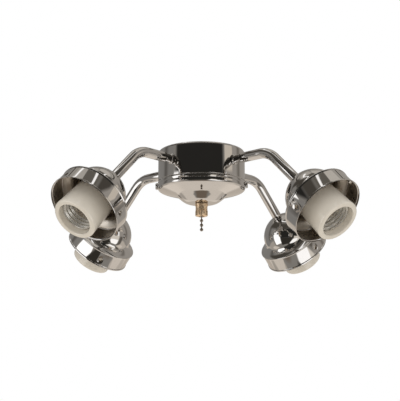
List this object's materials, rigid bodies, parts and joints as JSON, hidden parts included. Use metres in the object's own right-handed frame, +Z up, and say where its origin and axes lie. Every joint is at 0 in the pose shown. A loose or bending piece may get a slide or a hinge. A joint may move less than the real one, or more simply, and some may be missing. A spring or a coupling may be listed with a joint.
{
  "type": "ceiling fan light kit",
  "caption": "Chrome light kit for under a ceiling fan: a round hub with bent arms, each ending in a bell-shaped shade holder with a porcelain lampholder, and a pull-chain switch.",
  "frame": {"origin": "centre of the hub's top face, where the kit seats under the fan", "axes": "+Z up along the hub's axis, -Y towards the front, +X to the right"},
  "size_m": [0.2536, 0.2536, 0.1068],
  "materials": {
    "chrome": "polished chrome plate",
    "zinc_plate": "zinc plate",
    "brass": "bright brass",
    "aluminium": "drawn aluminium",
    "porcelain": "glazed off-white porcelain",
    "phenolic": "moulded phenolic",
    "insulation": "white wire insulation"
  },
  "bodies": {
    "kit": {"hub_housing": "chrome", "bottom_cover": "chrome", "cover_screw_left": "chrome", "cover_screw_right": "chrome", "arm_tube_front_left": "chrome", "arm_tube_front_right": "chrome", "arm_tube_rear_right": "chrome", "arm_tube_rear_left": "chrome", "shade_holder_front_left": "chrome", "shade_holder_front_right": "chrome", "shade_holder_rear_right": "chrome", "shade_holder_rear_left": "chrome", "mounting_nipple": "zinc_plate", "nipple_washer": "zinc_plate", "nipple_locknut": "zinc_plate", "switch_locknut": "zinc_plate", "arm_locknut_front_left": "zinc_plate", "arm_locknut_front_right": "zinc_plate", "arm_locknut_rear_right": "zinc_plate", "arm_locknut_rear_left": "zinc_plate", "holder_locknut_front_left": "zinc_plate", "holder_locknut_front_right": "zinc_plate", "holder_locknut_rear_right": "zinc_plate", "holder_locknut_rear_left": "zinc_plate", "socket_bracket_front_left": "zinc_plate", "socket_bracket_front_right": "zinc_plate", "socket_bracket_rear_right": "zinc_plate", "socket_bracket_rear_left": "zinc_plate", "socket_screw_outer_front_left": "zinc_plate", "socket_screw_outer_front_right": "zinc_plate", "socket_screw_outer_rear_right": "zinc_plate", "socket_screw_outer_rear_left": "zinc_plate", "socket_screw_inner_front_left": "zinc_plate", "socket_screw_inner_front_right": "zinc_plate", "socket_screw_inner_rear_right": "zinc_plate", "socket_screw_inner_rear_left": "zinc_plate", "switch_bushing": "brass", "switch_nut": "brass", "centre_contact_front_left": "brass", "centre_contact_front_right": "brass", "centre_contact_rear_right": "brass", "centre_contact_rear_left": "brass", "screw_shell_front_left": "aluminium", "screw_shell_front_right": "aluminium", "screw_shell_rear_right": "aluminium", "screw_shell_rear_left": "aluminium", "lampholder_front_left": "porcelain", "lampholder_front_right": "porcelain", "lampholder_rear_right": "porcelain", "lampholder_rear_left": "porcelain", "switch_body": "phenolic", "lead_splice_left": "insulation", "lead_splice_right": "insulation", "twin_lead_front_left": "insulation", "twin_lead_front_right": "insulation", "twin_lead_rear_right": "insulation", "twin_lead_rear_left": "insulation"},
    "chain": {"pull_chain": "brass"}
  },
  "joints": [
    {"name": "chain_pull", "type": "slide", "parent": "kit", "child": "chain", "axis": [0, 0, -1], "range_m": [0, 0.008], "stiffness_N_per_m": 400}
  ]
}
